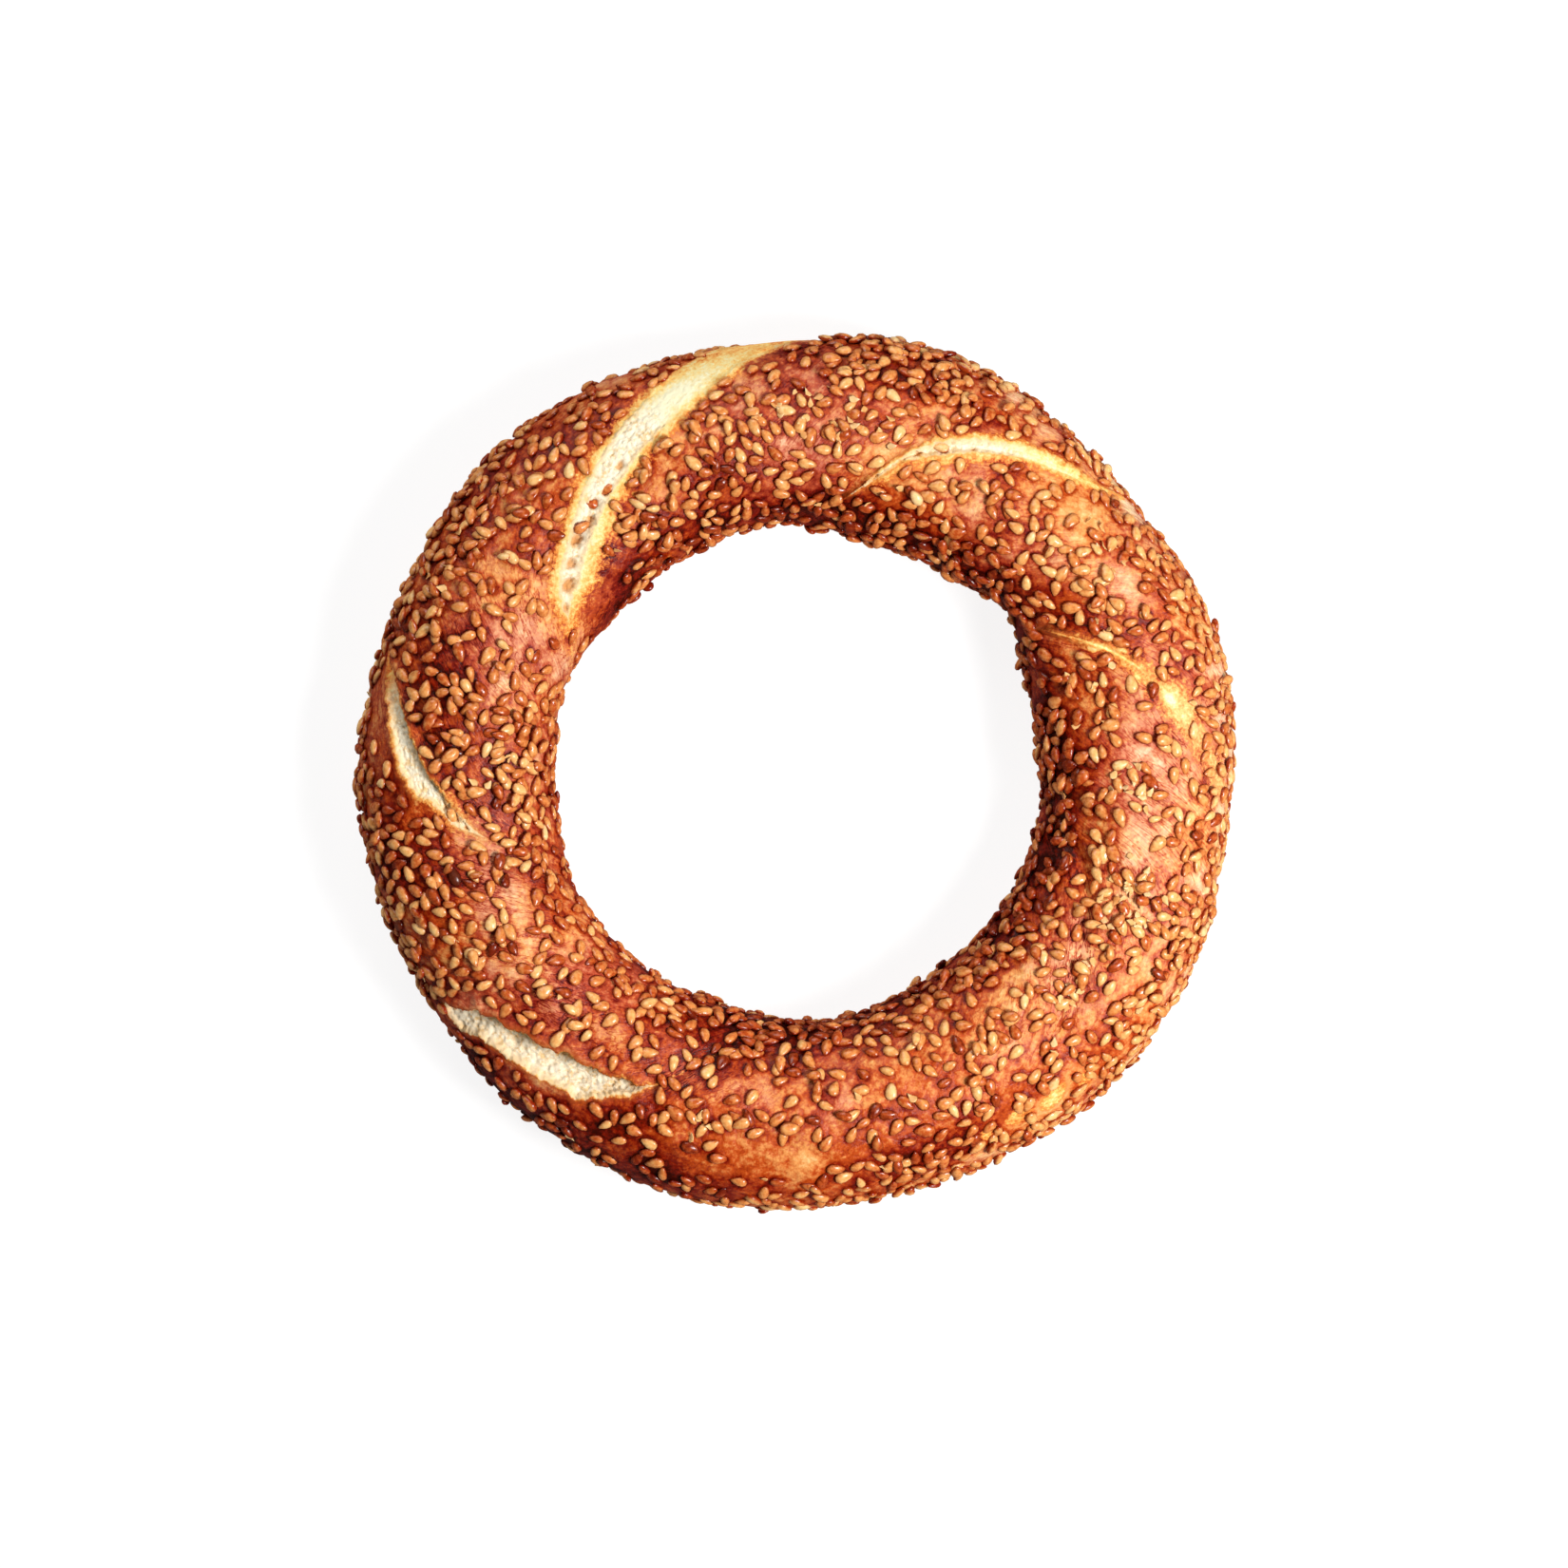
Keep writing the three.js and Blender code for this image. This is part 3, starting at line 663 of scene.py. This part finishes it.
def makeCrustMaterial():
    look, shares = crustLook, crustShares
    material, tree, shader = startMaterial("bakedCrust")
    maps = crustMaps(tree)
    pale = maps["pale"]

    # the bake, with painted shade and painted sheen: its tone from 0, the darkest, to 1, and how red it
    # is
    tone = vary(tree, look["toneMiddle"], maps, shares["tone"])
    stops = (0.0, 0.25, 0.5, 0.75, 1.0)
    orange = ramp(tree, tone, list(zip(stops, look["orange"])))
    # the rosy colours also paint the glaze's pink sheen on the crown
    rosyAndSheen = ramp(tree, tone, list(zip(stops, look["rosyAndSheen"])))
    redness = vary(tree, maps["redPatches"], maps, shares["redness"])
    crust = blend(tree, ramp(tree, redness, [(0.42, 0.0), (0.68, 1.0)]), orange, rosyAndSheen)

    # stretched crust beside the tears
    calm = maths(tree, "MULTIPLY_ADD", pale, -1.0, 1.35, clamp=True)
    uneven = maths(tree, "MULTIPLY", vary(tree, 0.0, maps, shares["uneven"]), calm)
    # near the seeds the pale skin is less pale and more orange: painted warm shade
    uneven = maths(tree, "MULTIPLY_ADD", maps["seedShadeGlaze"], -0.22, maths(tree, "ADD", uneven, 0.03))
    paleness = maths(tree, "ADD", pale, uneven, clamp=True)
    paleStops = (0.15, 0.38, 0.6, 0.8, 1.0)
    gold = ramp(tree, paleness, list(zip(paleStops, look["gold"])))
    peach = ramp(tree, paleness, list(zip(paleStops, look["peach"])))
    stretched = blend(tree, ramp(tree, maps["rosyAndSheen"], [(0.3, 0.0), (1.0, 1.0)]), gold, peach)
    anyPale = ramp(tree, pale, [(0.05, 0.0), (0.3, 1.0)])
    paleShare = ramp(tree, maths(tree, "MULTIPLY", paleness, anyPale), [(0.1, 0.0), (0.34, 1.0)])
    colour = blend(tree, paleShare, crust, stretched)

    # torn edge and crumb
    frayed = vary(tree, maps["edge"], maps, shares["frayed"])
    frayed = maths(tree, "MULTIPLY_ADD", frayed, 0.25, 0.5)
    rim = ramp(tree, frayed, [(0.46, 0.0), (0.52, 0.9), (0.62, 0.45), (0.8, 0.0)])
    rim = maths(tree, "MULTIPLY", rim, maths(tree, "MULTIPLY_ADD", pale, -1.3, 1.0), clamp=True)
    colour = blend(tree, rim, colour, look["tornEdge"])
    sponge = vary(tree, 0.0, maps, shares["sponge"])
    # darker pores: painted shade in the crumb's small holes
    crumb = ramp(tree, sponge, [(0.5, look["shadedPore"]), (0.62, look["crumb"])])
    # warmer crumb along the torn edge: its golden rim, with painted warm shade on the walls
    crumb = blend(tree, ramp(tree, frayed, [(0.2, 0.0), (0.46, 0.85)]), crumb, look["cutEdgeWarmShade"])
    # the sunk pockets darker and browner: painted shade in the hollows
    crumb = blend(tree, maths(tree, "MULTIPLY", maps["shadedPocket"], 0.9), crumb, look["shadedPocket"])
    opened = ramp(tree, frayed, [(0.46, 1.0), (0.5, 0.0)])
    torn = maths(tree, "MULTIPLY", opened, maths(tree, "SUBTRACT", 1.0, maps["skin"]))
    colour = blend(tree, torn, colour, crumb)

    glaze = ramp(tree, maps["blotches"], [(0.3, 0.28), (0.7, 0.46)])
    glaze = vary(tree, glaze, maps, shares["glaze"])
    dull = blend(tree, maps["crumb"], glaze, (look["crumbRoughness"],) * 3 + (1,))
    wrinkles = maths(tree, "MULTIPLY", maps["streaks"], maths(tree, "MAXIMUM", maps["folded"], 0.1))
    height = vary(tree, wrinkles, maps, shares["height"])
    bump = addNode(
        tree, "Bump", {"Height": height, "Strength": 0.5, "Distance": look["bumpDepth"] * mm})
    setInputs(tree, shader, {"Base Color": colour, "Roughness": dull, "Normal": bump.outputs["Normal"],
                             "Specular IOR Level": look["gloss"]})
    return material


seedShape = {
    "length": 3.38, "width": 2.2, "thickness": 1.46,
    "segments": 8, "rings": 6,
    "sizeMiddle": 0.98, "sizeSpread": 0.09, "sizeLimits": (0.78, 1.2),
    "broadSpread": 0.07, "broadLimits": (0.85, 1.15),
    "tilt": 0.13,
    "sunk": 0.46,  # mm of the seed below the crust
    "pressed": 0.28,  # mm more on the upright sides
    # the room that a seed takes: circles along it, at mm from its middle and with mm of radius
    "circles": ((-0.76, 0.78), (0.0, 1.03), (0.78, 0.66)),
}

seedSpread = {
    "randomSeed": 11, "tries": 70000,
    "perSquare": 0.29,  # seeds tried on a square millimetre
    "overlap": 0.79,  # share of its room that a seed keeps to itself
    "holeSide": 0.7,  # how many more on the side of the hole
    "tearGap": 1.5,  # mm
    "paleLoss": 0.85,
    "underLevel": 0.9,  # mm, below which the crust counts as the flat base
    "underShare": 0.4,
    "clumpScale": 0.2, "clumpStrength": 1.9, "clumpLimits": (0.35, 2.0),
}

# The second layer, which lies on the first.
heapSpread = {
    "perSquare": 0.3, "overlap": 0.9,
    "anywhere": 0.08,  # the share of it that lies outside the heaps too
    "reach": (0.5, 1.7),  # mm to the seed that one of the second layer lies on
    "tearGap": 2.0, "paleLimit": 0.4, "height": 0.85,
    "tilt": 1.9,  # times the first layer's
}

# Each seed's tone, from 0, the darkest, to 1.
seedTone = {
    "middle": 0.505, "spread": 0.145,
    # onDark and onLight follow the crust's map of bake, painted shade and painted sheen
    "onDark": 0.38,  # how far it follows the crust's bake, where that is darker
    "onLight": 0.2,
    "darkShare": 0.08,  # seeds that are much darker than the rest
    "darkStep": 0.24,
    # holeSide darkens the seeds on the side of the hole: painted shade
    "holeSide": -0.08, "outerSide": 0.05,
}

# Patches of more or fewer seeds: place, reach in degrees, and the factor in the middle.
seedPatches = [
    (5, 52, 9, 11, 0.3), (28, 30, 14, 28, 1.3), (44, 62, 8, 20, 0.35), (52, 10, 9, 16, 1.4),
    (45, 122, 20, 12, 1.25), (10, 102, 12, 18, 1.25), (74, 25, 14, 32, 2.3), (93, 20, 6, 28, 0),
    (70, 103, 8, 16, 0.6), (88, 68, 10, 18, 0.8), (108, 88, 9, 28, 1.5), (110, 12, 9, 14, 0.7),
    (121, 120, 4, 24, 2.3), (142, 28, 24, 34, 1.8), (148, 55, 8, 16, 1.4), (145, 90, 15, 16, 0.55),
    (141, 134, 16, 32, 0.04), (127, 26, 6, 20, 0.3), (172, 104, 13, 28, 1.6), (171, 34, 7, 16, 0.12),
    (196, 42, 14, 30, 1.8), (216, 104, 22, 26, 0.85), (226, 14, 15, 24, 0.4), (250, 34, 14, 36, 0.5),
    (266, 52, 14, 34, 0.32), (256, 106, 18, 22, 0.5), (289, 38, 11, 24, 1.6), (305, 42, 7, 13, 0.3),
    (322, 12, 24, 18, 1.7), (330, 46, 18, 14, 1.3), (308, 74, 10, 14, 0.6), (312, 110, 32, 18, 1.2),
    (353, 75, 9, 26, 0.5), (150, 168, 13, 30, 0.06), (175, 180, 12, 18, 0.45), (196, 170, 9, 22, 0.2),
    (213, 170, 12, 20, 0.3), (230, 162, 7, 18, 0.3), (242, 2, 26, 18, 0.5), (104, 2, 12, 20, 0.5),
]

# Heaps: place, reach in degrees, and the share of a second layer of seeds in the middle.
heaps = [
    (122, 120, 6, 24, 1), (74, 22, 16, 32, 1), (62, 150, 24, 18, 0.7), (5, 150, 22, 18, 0.8),
    (328, 145, 20, 20, 0.8), (146, 48, 12, 20, 1), (150, 12, 24, 16, 0.6), (190, 14, 16, 20, 0.4),
    (296, 12, 26, 16, 0.2), (180, 128, 16, 18, 0.8), (172, 92, 7, 16, 0.6), (260, 150, 20, 16, 0.7),
    (336, 45, 14, 16, 0.6), (28, 80, 6, 16, 0.6),
]

# Clusters of broken pale hulls, in the same way.
hullPatches = [
    (88, 82, 12, 18, 1), (36, 66, 5, 12, 0.9), (338, 88, 9, 20, 1), (358, 98, 5, 14, 0.9),
    (322, 88, 5, 12, 0.6), (148, 52, 8, 16, 0.4), (252, 84, 9, 12, 0.3), (183, 118, 7, 12, 0.4),
    (22, 100, 7, 10, 0.5),
]

# Seeds that lie in the tears: split, place around, mm from the seam.
straySeeds = [
    ("upperLeft", 124.7, 1.4), ("upperLeft", 127.4, 0.0), ("upperLeft", 131.3, -0.4),
    ("upperRight", 66.5, -0.4), ("left", 187.0, -0.2),
]


def makeMasterSeed(name, pointed, flat):
    # a drop that lies along X
    s = seedShape
    bpy.ops.object.select_all(action="DESELECT")
    bpy.ops.mesh.primitive_uv_sphere_add(
        segments=s["segments"], ring_count=s["rings"], radius=0.5, rotation=(0, math.pi / 2, 0))
    seed = bpy.context.active_object
    seed.name = name
    bpy.ops.object.transform_apply(location=False, rotation=True, scale=False)
    points = readPoints(seed.data)
    along = points[:, 0] * 2
    narrow = 1 - pointed * np.clip(along + 0.25, -0.5, 2)  # slimmer towards the tip
    points[:, 0] *= s["length"]
    points[:, 1] *= s["width"] * narrow
    points[:, 2] *= s["thickness"] * flat * (0.35 + 0.65 * narrow)
    writePoints(seed.data, points)
    return seed


hullShape = {
    "length": 1.9, "width": 1.4, "thickness": 0.2, "cup": 0.28,
    "lift": 0.05, "layerHeight": 0.5, "tilt": 0.25,
    "anywhere": 0.002, "inPatch": 0.12,  # share of the places tried that get one
}


def makeMasterHull(name):
    # a thin cupped scrap
    s = hullShape
    bpy.ops.object.select_all(action="DESELECT")
    bpy.ops.mesh.primitive_uv_sphere_add(segments=7, ring_count=4, radius=0.5)
    scrap = bpy.context.active_object
    scrap.name = name
    points = readPoints(scrap.data)
    turn = np.arctan2(points[:, 1], points[:, 0])
    ragged = 1 + 0.22 * np.cos(3 * turn + 0.5) + 0.12 * np.cos(5 * turn)
    points[:, 0] *= s["length"] * ragged
    points[:, 1] *= s["width"] * ragged
    points[:, 2] *= s["thickness"]
    points[:, 2] += s["cup"] * (points[:, 0] ** 2 - 0.6 * points[:, 1] ** 2)
    writePoints(scrap.data, points)
    return scrap


def surfaceSamples(mesh, count, random):
    mesh.calc_loop_triangles()
    corners = np.empty(len(mesh.loop_triangles) * 3, int)
    mesh.loop_triangles.foreach_get("vertices", corners)
    corners = corners.reshape(-1, 3)
    points = readPoints(mesh) / mm
    a, b, c = points[corners[:, 0]], points[corners[:, 1]], points[corners[:, 2]]
    area = np.linalg.norm(np.cross(b - a, c - a), axis=1)
    picked = random.choice(len(corners), count, p=area / area.sum())
    weights = random.dirichlet((1, 1, 1), count)
    return corners[picked], weights, area.sum() / 2


def mapValues(mesh, name):
    values = np.empty(len(mesh.vertices))
    mesh.attributes[name].data.foreach_get("value", values)
    return values


def spread(values, corners, weights):
    if values.ndim == 1:
        return (values[corners] * weights).sum(axis=1)
    return (values[corners] * weights[:, :, None]).sum(axis=1)


def unit(vectors):
    return vectors / np.linalg.norm(vectors, axis=1)[:, None]


def patchShare(patches, places):
    # the share at each place, from 0 to that of the patch it is in
    total = np.zeros(len(places["around"]))
    for *patch, share in patches:
        far = fromPatch(places["around"], places["across"], *patch)
        total = np.maximum(total, share * np.exp(-far ** 2))
    return total


def samplePlaces(rope, random):
    # many places on the crust, with what is known about each
    s = seedShape
    mesh = rope.data
    corners, weights, area = surfaceSamples(mesh, seedSpread["tries"], random)
    points = spread(readPoints(mesh) / mm, corners, weights)
    normals = spread(readPoints(mesh, "normal"), corners, weights)
    ringRadius, level = ropeShape["ringRadius"], ropeShape["widestLevel"]
    around = np.degrees(np.arctan2(points[:, 1], points[:, 0]))
    out = np.hypot(points[:, 0], points[:, 1]) - ringRadius
    across = np.degrees(np.arctan2(points[:, 2] - level, out))
    turn = np.radians(around)
    levels = np.full(len(turn), level)
    hub = np.stack([ringRadius * np.cos(turn), ringRadius * np.sin(turn), levels], axis=-1)
    normals = normals * 0.5 + unit(points - hub) * 0.5
    under = points[:, 2] < seedSpread["underLevel"]
    normals[under] = (0, 0, -1)
    normals = unit(normals)
    helper = np.where(np.abs(normals[:, 2:3]) < 0.9, (0.0, 0.0, 1.0), (1.0, 0.0, 0.0))
    side = unit(np.cross(normals, helper))
    other = np.cross(normals, side)
    heading = random.uniform(0, 2 * np.pi, len(points))
    axis = side * np.cos(heading)[:, None] + other * np.sin(heading)[:, None]
    size = np.clip(random.normal(s["sizeMiddle"], s["sizeSpread"], len(points)), *s["sizeLimits"])
    chance = random.uniform(size=len(points))
    places = {"points": points, "normals": normals, "axis": axis, "around": around,
              "across": across, "under": under, "size": size, "chance": chance, "area": area,
              "layer": np.zeros(len(points))}
    for name in ("edge", "pale", "bakeShadeSheen"):
        places[name] = spread(mapValues(mesh, name), corners, weights)
    return places


def seedDensity(places):
    density = np.ones(len(places["around"]))
    for *patch, factor in seedPatches:
        far = fromPatch(places["around"], places["across"], *patch)
        density *= 1 + (factor - 1) * np.exp(-far ** 2)
    return density


def wantedPlaces(places):
    s = seedSpread
    wish = seedDensity(places) * (1 + s["holeSide"] * easeIn(places["across"], 122, 142))
    wish *= np.where(places["edge"] < s["tearGap"], 0, 1)
    wish *= 1 - s["paleLoss"] * easeIn(places["pale"], 0.35, 0.75)
    wish *= np.where(places["under"], s["underShare"], 1)
    clump = [noise.noise(Vector(point * s["clumpScale"])) for point in places["points"]]
    wish *= np.clip(1 + s["clumpStrength"] * np.array(clump), *s["clumpLimits"])
    return places["chance"] < wish * s["perSquare"] * places["area"] / s["tries"]


def packSeeds(places, order, overlap):
    # takes the places in order and drops each that would lie on one already taken
    reach = seedShape["length"]
    cells, kept = {}, []
    around27 = [(x, y, z) for x in (-1, 0, 1) for y in (-1, 0, 1) for z in (-1, 0, 1)]
    for i in order:
        point, axis, size = (places[name][i] for name in ("points", "axis", "size"))
        spots = [(point + axis * offset * size, radius * size * overlap)
                 for offset, radius in seedShape["circles"]]
        home = tuple(int(value) for value in np.floor(point / reach))
        near = []
        for step in around27:
            near += cells.get(tuple(a + b for a, b in zip(home, step)), ())
        clash = any((spot[0] - x) ** 2 + (spot[1] - y) ** 2 + (spot[2] - z) ** 2 < (radius + room) ** 2
                    for x, y, z, room in near for spot, radius in spots)
        if not clash:
            cells.setdefault(home, []).extend((*spot.tolist(), radius) for spot, radius in spots)
            kept.append(i)
    return kept


def placeSeeds(places):
    wanted = wantedPlaces(places)
    strays = []
    for name, at, aside in straySeeds:
        foot, offset = fromSeam(splits[name]["seam"], places["around"] % 360, places["across"])
        strays.append(int(np.argmin((foot - at) ** 2 + (offset - aside) ** 2)))
    first = packSeeds(places, strays + np.nonzero(wanted)[0].tolist(), seedSpread["overlap"])
    rest = KDTree(len(first))
    for index, point in enumerate(places["points"][first]):
        rest.insert(point, index)
    rest.balance()

    s = heapSpread
    heaped = s["anywhere"] + patchShare(heaps, places)
    heaped *= np.minimum(seedDensity(places), 1) ** 2
    chance = heaped * s["perSquare"] * places["area"] / seedSpread["tries"]
    wanted = (places["chance"] > 1 - chance) & ~places["under"]
    wanted &= (places["edge"] > s["tearGap"]) & (places["pale"] < s["paleLimit"])
    nearest, furthest = s["reach"]
    wanted = [index for index in np.nonzero(wanted)[0]
              if nearest < rest.find(places["points"][index])[2] < furthest]
    second = packSeeds(places, wanted, s["overlap"])
    places["layer"][second] = s["height"]
    print("seeds:", len(first), "on the crust,", len(second), "heaped")
    return np.array(first), np.array(second)


seedShadeShape = {
    # painted shade of the seeds on the crust, with pooled glaze: darkest within contactReach of a seed
    "neighbours": 6,
    "contactReach": 0.5,  # mm from a seed, where the crust is darkest
    "shadeReach": 2.2,
    "contactShare": 0.55,
}


def markSeedShade(rope, places, kept):
    # how closely the seeds stand round each point of the crust, as painted shade of the seeds on the
    # crust round them, with the glaze pooled there
    s = seedShadeShape
    circles = seedShape["circles"]
    tree = KDTree(len(kept) * len(circles))
    radii = []
    for i in kept:
        point, axis, size = (places[name][i] for name in ("points", "axis", "size"))
        for offset, radius in circles:
            tree.insert(point + axis * offset * size, len(radii))
            radii.append(radius)
    tree.balance()
    seedShadeGlaze = []
    for point in readPoints(rope.data) / mm:
        found = tree.find_n(point, s["neighbours"])
        gaps = [max(far - radii[index], 0) for _, index, far in found]
        contact = math.exp(-(min(gaps) / s["contactReach"]) ** 2)
        shadeAround = sum(math.exp(-(gap / s["shadeReach"]) ** 2) for gap in gaps) / len(gaps)
        seedShadeGlaze.append(s["contactShare"] * contact + (1 - s["contactShare"]) * shadeAround)
    writeMap(rope.data, "seedShadeGlaze", np.array(seedShadeGlaze))


def joinCopies(name, master, places, picked, random, lift, tilt):
    # every copy of the master as one mesh
    s = seedShape
    base = readPoints(master.data)
    faces = [list(face.vertices) for face in master.data.polygons]
    count = len(picked)
    layer = places["layer"][picked]
    leaning = np.where(layer > 0, tilt * heapSpread["tilt"], tilt)[:, None]
    normals = unit(places["normals"][picked] + random.normal(0, 1, (count, 3)) * leaning)
    axis = places["axis"][picked]
    axis = unit(axis - normals * (axis * normals).sum(axis=1)[:, None])
    side = np.cross(normals, axis)
    size = places["size"][picked][:, None, None]
    broad = np.clip(random.normal(1, s["broadSpread"], count), *s["broadLimits"])[:, None, None]
    pressed = s["pressed"] * (1 - np.abs(places["normals"][picked, 2])) * (1 + layer)
    middle = places["points"][picked] + normals * (lift + layer - pressed)[:, None]
    points = middle[:, None, :] + size * (
        base[None, :, 0:1] * axis[:, None, :] + base[None, :, 1:2] * side[:, None, :] * broad
        + base[None, :, 2:3] * normals[:, None, :])
    points[:, :, 2] = np.maximum(points[:, :, 2], 0)
    allFaces = [[corner + len(base) * i for corner in face] for i in range(count) for face in faces]
    mesh = bpy.data.meshes.new(name)
    mesh.from_pydata((points.reshape(-1, 3) * mm).tolist(), [], allFaces)
    piece = bpy.data.objects.new(name, mesh)
    bpy.context.collection.objects.link(piece)

    t = seedTone
    bakeShadeSheen, across = places["bakeShadeSheen"][picked], places["across"][picked]
    tone = t["middle"] + random.normal(0, t["spread"], count)
    # darker where the crust is darker or has painted shade, and on the side of the hole: painted shade
    tone -= t["onDark"] * np.maximum(bakeShadeSheen, 0)
    tone -= t["onLight"] * np.minimum(bakeShadeSheen, 0)
    tone -= t["darkStep"] * (random.uniform(size=count) < t["darkShare"])
    tone += t["holeSide"] * easeIn(across, 120, 160)
    tone += t["outerSide"] * easeIn(-across, -50, -15)
    low, high = base[:, 2].min(), base[:, 2].max()
    writeMap(mesh, "height", np.tile((base[:, 2] - low) / (high - low), count))
    writeMap(mesh, "tone", np.repeat(np.clip(tone, 0, 1), len(base)))
    mesh.shade_smooth()
    bpy.data.objects.remove(master)
    print(name + ":", count, "copies,", len(mesh.polygons), "faces")
    return piece


def makeSeedMaterial(name, tones, baseShadeTint, rough):
    material, tree, shader = startMaterial(name)
    place = addNode(tree, "TexCoord").outputs["Object"]
    speckle = grain(tree, place, 1300)
    maps = {"speckle": speckle}
    tone = vary(tree, readMap(tree, "tone"), maps, {"speckle": (0.6, 0.5)})
    stops = [(index / (len(tones) - 1), colour) for index, colour in enumerate(tones)]
    body = ramp(tree, tone, stops)
    # each seed darker towards its base: painted shade where it meets the crust, with glaze pooled there
    rim = blend(tree, 1.0, body, baseShadeTint, "MULTIPLY")
    aboveShade = vary(tree, readMap(tree, "height"), maps, {"speckle": (0.2, 0.5)})
    aboveShade = ramp(tree, aboveShade, [(0.5, 0.0), (0.78, 0.8), (0.94, 1.0)])
    bump = addNode(tree, "Bump", {"Height": speckle, "Strength": 0.2, "Distance": 0.3 * mm})
    setInputs(tree, shader, {
        "Base Color": blend(tree, aboveShade, rim, body),
        "Roughness": ramp(tree, speckle, [(0.3, rough), (0.7, rough + 0.16)]),
        "Specular IOR Level": 0.5, "Normal": bump.outputs["Normal"]})
    return material


toasted = tints((122, 34, 8), (190, 80, 28), (232, 147, 76), (250, 190, 115), (255, 215, 150))
burnt = tints((66, 24, 12), (104, 40, 18), (142, 62, 30))
paleHull = tints((236, 170, 100), (252, 214, 150), (255, 240, 200))
seedKinds = {
    "sesameBroad": {"share": 0.34, "pointed": 0.22, "flat": 1.0, "tones": toasted},
    "sesameOval": {"share": 0.34, "pointed": 0.31, "flat": 0.94, "tones": toasted},
    "sesamePointed": {"share": 0.3175, "pointed": 0.4, "flat": 0.97, "tones": toasted},
    "sesameBurnt": {"share": 0.0025, "pointed": 0.22, "flat": 1.0, "tones": burnt},
}


def makeSesame(places, everySeed, random):
    s = seedShape
    lift = s["thickness"] / 2 - s["sunk"]
    shares = [kind["share"] for kind in seedKinds.values()]
    kinds = random.choice(len(seedKinds), len(everySeed), p=shares)
    made = []
    for index, (name, kind) in enumerate(seedKinds.items()):
        master = makeMasterSeed(name + "Master", kind["pointed"], kind["flat"])
        picked = everySeed[kinds == index]
        piece = joinCopies(name, master, places, picked, random, lift, s["tilt"])
        piece.data.materials.append(
            makeSeedMaterial(name, kind["tones"], tint(166, 80, 44), rough=0.2))
        made.append(piece)
    return made


def makeHulls(places, random):
    s = hullShape
    chance = s["anywhere"] + s["inPatch"] * patchShare(hullPatches, places)
    wanted = random.uniform(size=len(chance)) < chance
    wanted &= ~places["under"] & (places["edge"] > seedSpread["tearGap"])
    picked = np.nonzero(wanted)[0]
    places["layer"][picked] = s["layerHeight"]
    master = makeMasterHull("hullMaster")
    hulls = joinCopies("sesameHulls", master, places, picked, random, s["lift"], s["tilt"])
    hulls.data.materials.append(
        makeSeedMaterial("sesameHulls", paleHull, tint(240, 216, 190), rough=0.4))
    return hulls


rope = makeRope()
random = np.random.default_rng(seedSpread["randomSeed"])
places = samplePlaces(rope, random)
lower, upper = placeSeeds(places)
markSeedShade(rope, places, lower)
rope.data.materials.append(makeCrustMaterial())
sesame = makeSesame(places, np.concatenate([lower, upper]), random)
hulls = makeHulls(places, random)

for piece in [rope, *sesame, hulls]:
    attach(piece, "root")
    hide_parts("simit")

studio = {
    "cameraPlace": (-2.57, -2.07, 1097.8),
    "lens": 135,
    "floorSize": 4000,
    "lamps": [
        {"name": "key", "turn": -22, "rise": 54, "distance": 700, "size": 220, "power": 6.05},
        {"name": "fill", "turn": 112, "rise": 34, "distance": 750, "size": 500, "power": 2.7},
    ],
    "skyStrength": 0.05,
    "floorTint": 0.2,
    "floorGlow": 0.88,
}


def makeStudio():
    s = studio
    bpy.ops.object.camera_add(location=[value * mm for value in s["cameraPlace"]], rotation=(0, 0, 0))
    camera = bpy.context.active_object
    camera.data.lens = s["lens"]
    camera.data.clip_start = 0.01
    bpy.context.scene.camera = camera
    bpy.ops.mesh.primitive_plane_add(size=s["floorSize"] * mm)
    floor = bpy.context.active_object
    floor.name = "floor"
    material, tree, shader = startMaterial("paleFloor")
    setInputs(tree, shader, {
        "Base Color": (s["floorTint"],) * 3 + (1,), "Roughness": 0.9,
        "Emission Color": (1, 1, 1, 1), "Emission Strength": s["floorGlow"]})
    floor.data.materials.append(material)
    floor.visible_glossy = False
    for lamp in s["lamps"]:
        turn, rise = math.radians(lamp["turn"]), math.radians(lamp["rise"])
        way = Vector((math.cos(turn) * math.cos(rise), math.sin(turn) * math.cos(rise), math.sin(rise)))
        facing = way.to_track_quat("Z", "Y").to_euler()
        bpy.ops.object.light_add(type="AREA", location=way * lamp["distance"] * mm, rotation=facing)
        light = bpy.context.active_object
        light.name = lamp["name"]
        light.data.size = lamp["size"] * mm
        light.data.energy = lamp["power"]
    world = bpy.data.worlds.new("paleSky")
    bpy.context.scene.world = world
    world.use_nodes = True
    sky = world.node_tree.nodes["Background"]
    setInputs(world.node_tree, sky, {"Color": (1, 1, 1, 1), "Strength": s["skyStrength"]})
    bpy.context.scene.view_settings.view_transform = "Standard"


makeStudio()
print("studio ready")
